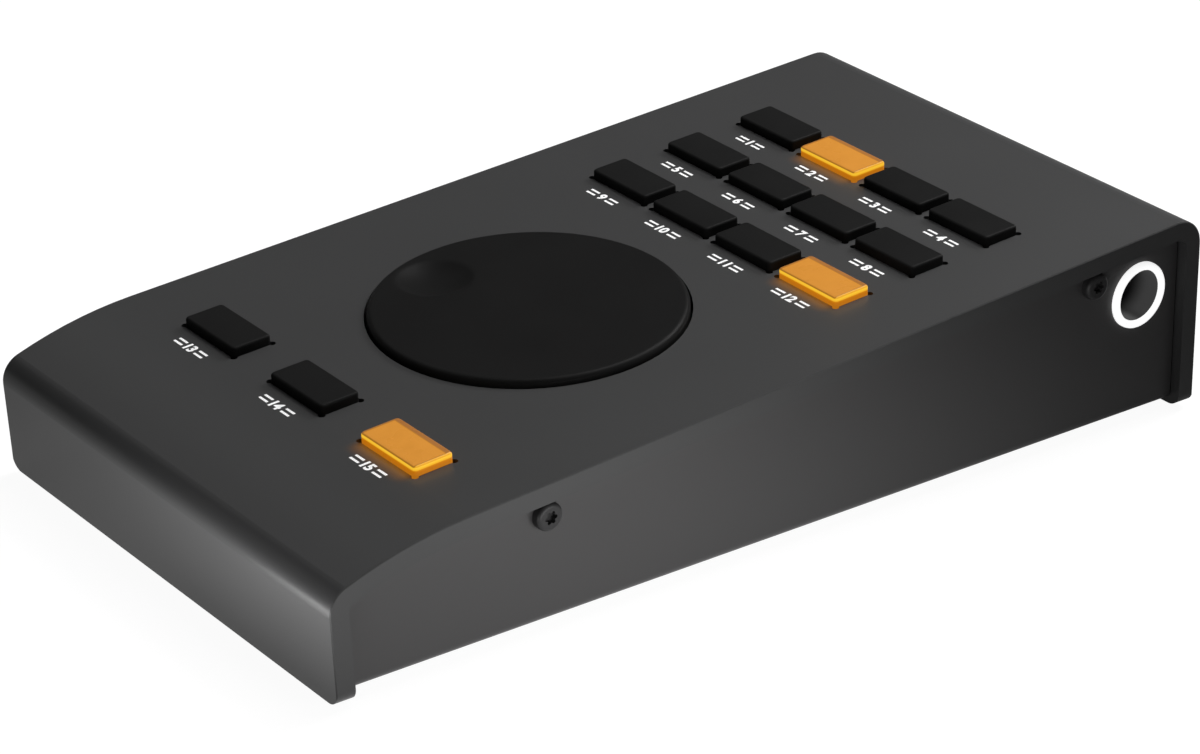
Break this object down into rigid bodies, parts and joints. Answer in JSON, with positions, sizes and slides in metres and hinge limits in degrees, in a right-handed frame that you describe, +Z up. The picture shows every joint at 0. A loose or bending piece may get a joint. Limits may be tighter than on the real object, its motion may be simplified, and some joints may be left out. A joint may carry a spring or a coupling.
{
  "type": "studio monitor controller",
  "caption": "Wedge-shaped desktop remote with a bent metal cover, amber-lit rectangular keys, a flat jog wheel with a finger dimple and a jack socket in one side.",
  "frame": {"origin": "on the table, under the middle of the footprint", "axes": "+X to the user's right, +Y to the rear, +Z up; the feet stand on Z = 0"},
  "size_m": [0.1076, 0.2072, 0.0424],
  "materials": {
    "cover_finish": "fine satin dark grey anodised sheet",
    "tray_finish": "satin dark grey coated sheet",
    "feet_rubber": "matt black rubber",
    "black_screws": "black oxide",
    "bare_aluminium": "as machined",
    "bright_steel": "plated",
    "sleeve_metal": "turned, blackened",
    "ring_white": "white moulded",
    "inlet_plastic": "moulded insert",
    "switch_plastic": "moulded black",
    "frame_plastic": "moulded black",
    "lamp_white": "lamp package",
    "board_laminate": "solder mask",
    "wheel_finish": "satin black anodised, turned",
    "cap_dark": "smoked, fine satin",
    "core_dark": "unlit light block",
    "cap_lit": "clear shell over a lit block",
    "core_lit": "lit amber light block"
  },
  "bodies": {
    "housing": {"top_cover": "cover_finish", "base_tray": "tray_finish", "rubber_feet": "feet_rubber", "side_screws": "black_screws", "screw_blocks": "bare_aluminium", "key_switches": "switch_plastic", "key_lamps": "lamp_white", "rear_light_frame": "frame_plastic", "front_light_frame": "frame_plastic", "main_board": "board_laminate", "board_standoffs": "bright_steel", "board_screws": "bright_steel", "encoder_body": "bright_steel", "encoder_nut": "bright_steel", "io_board": "board_laminate", "io_standoffs": "bright_steel", "io_screws": "bright_steel", "board_header": "switch_plastic", "jack_body": "switch_plastic", "jack_sleeve": "sleeve_metal", "jack_ring": "ring_white", "inlet_shell": "bright_steel", "inlet_core": "inlet_plastic"},
    "wheel": {"jog_wheel": "wheel_finish", "encoder_shaft": "bright_steel", "wheel_grub_screw": "black_screws"},
    "key_01": {"key_cap_01": "cap_dark", "key_core_01": "core_dark"},
    "key_02": {"key_cap_02": "cap_lit", "key_core_02": "core_lit"},
    "key_03": {"key_cap_03": "cap_dark", "key_core_03": "core_dark"},
    "key_04": {"key_cap_04": "cap_dark", "key_core_04": "core_dark"},
    "key_05": {"key_cap_05": "cap_dark", "key_core_05": "core_dark"},
    "key_06": {"key_cap_06": "cap_dark", "key_core_06": "core_dark"},
    "key_07": {"key_cap_07": "cap_dark", "key_core_07": "core_dark"},
    "key_08": {"key_cap_08": "cap_dark", "key_core_08": "core_dark"},
    "key_09": {"key_cap_09": "cap_dark", "key_core_09": "core_dark"},
    "key_10": {"key_cap_10": "cap_dark", "key_core_10": "core_dark"},
    "key_11": {"key_cap_11": "cap_dark", "key_core_11": "core_dark"},
    "key_12": {"key_cap_12": "cap_lit", "key_core_12": "core_lit"},
    "key_13": {"key_cap_13": "cap_dark", "key_core_13": "core_dark"},
    "key_14": {"key_cap_14": "cap_dark", "key_core_14": "core_dark"},
    "key_15": {"key_cap_15": "cap_lit", "key_core_15": "core_lit"}
  },
  "joints": [
    {"name": "wheel_turn", "type": "hinge", "parent": "housing", "child": "wheel", "pos_m": [0, -0.02214, 0.03363], "axis": [0, -0.075, 0.9972], "continuous": true},
    {"name": "key_01_press", "type": "slide", "parent": "housing", "child": "key_01", "axis": [0, 0.075, -0.9972], "range_m": [0, 0.0005], "stiffness_N_per_m": 1500},
    {"name": "key_02_press", "type": "slide", "parent": "housing", "child": "key_02", "axis": [0, 0.075, -0.9972], "range_m": [0, 0.0005], "stiffness_N_per_m": 1500},
    {"name": "key_03_press", "type": "slide", "parent": "housing", "child": "key_03", "axis": [0, 0.075, -0.9972], "range_m": [0, 0.0005], "stiffness_N_per_m": 1500},
    {"name": "key_04_press", "type": "slide", "parent": "housing", "child": "key_04", "axis": [0, 0.075, -0.9972], "range_m": [0, 0.0005], "stiffness_N_per_m": 1500},
    {"name": "key_05_press", "type": "slide", "parent": "housing", "child": "key_05", "axis": [0, 0.075, -0.9972], "range_m": [0, 0.0005], "stiffness_N_per_m": 1500},
    {"name": "key_06_press", "type": "slide", "parent": "housing", "child": "key_06", "axis": [0, 0.075, -0.9972], "range_m": [0, 0.0005], "stiffness_N_per_m": 1500},
    {"name": "key_07_press", "type": "slide", "parent": "housing", "child": "key_07", "axis": [0, 0.075, -0.9972], "range_m": [0, 0.0005], "stiffness_N_per_m": 1500},
    {"name": "key_08_press", "type": "slide", "parent": "housing", "child": "key_08", "axis": [0, 0.075, -0.9972], "range_m": [0, 0.0005], "stiffness_N_per_m": 1500},
    {"name": "key_09_press", "type": "slide", "parent": "housing", "child": "key_09", "axis": [0, 0.075, -0.9972], "range_m": [0, 0.0005], "stiffness_N_per_m": 1500},
    {"name": "key_10_press", "type": "slide", "parent": "housing", "child": "key_10", "axis": [0, 0.075, -0.9972], "range_m": [0, 0.0005], "stiffness_N_per_m": 1500},
    {"name": "key_11_press", "type": "slide", "parent": "housing", "child": "key_11", "axis": [0, 0.075, -0.9972], "range_m": [0, 0.0005], "stiffness_N_per_m": 1500},
    {"name": "key_12_press", "type": "slide", "parent": "housing", "child": "key_12", "axis": [0, 0.075, -0.9972], "range_m": [0, 0.0005], "stiffness_N_per_m": 1500},
    {"name": "key_13_press", "type": "slide", "parent": "housing", "child": "key_13", "axis": [0, 0.075, -0.9972], "range_m": [0, 0.0005], "stiffness_N_per_m": 1500},
    {"name": "key_14_press", "type": "slide", "parent": "housing", "child": "key_14", "axis": [0, 0.075, -0.9972], "range_m": [0, 0.0005], "stiffness_N_per_m": 1500},
    {"name": "key_15_press", "type": "slide", "parent": "housing", "child": "key_15", "axis": [0, 0.075, -0.9972], "range_m": [0, 0.0005], "stiffness_N_per_m": 1500}
  ]
}
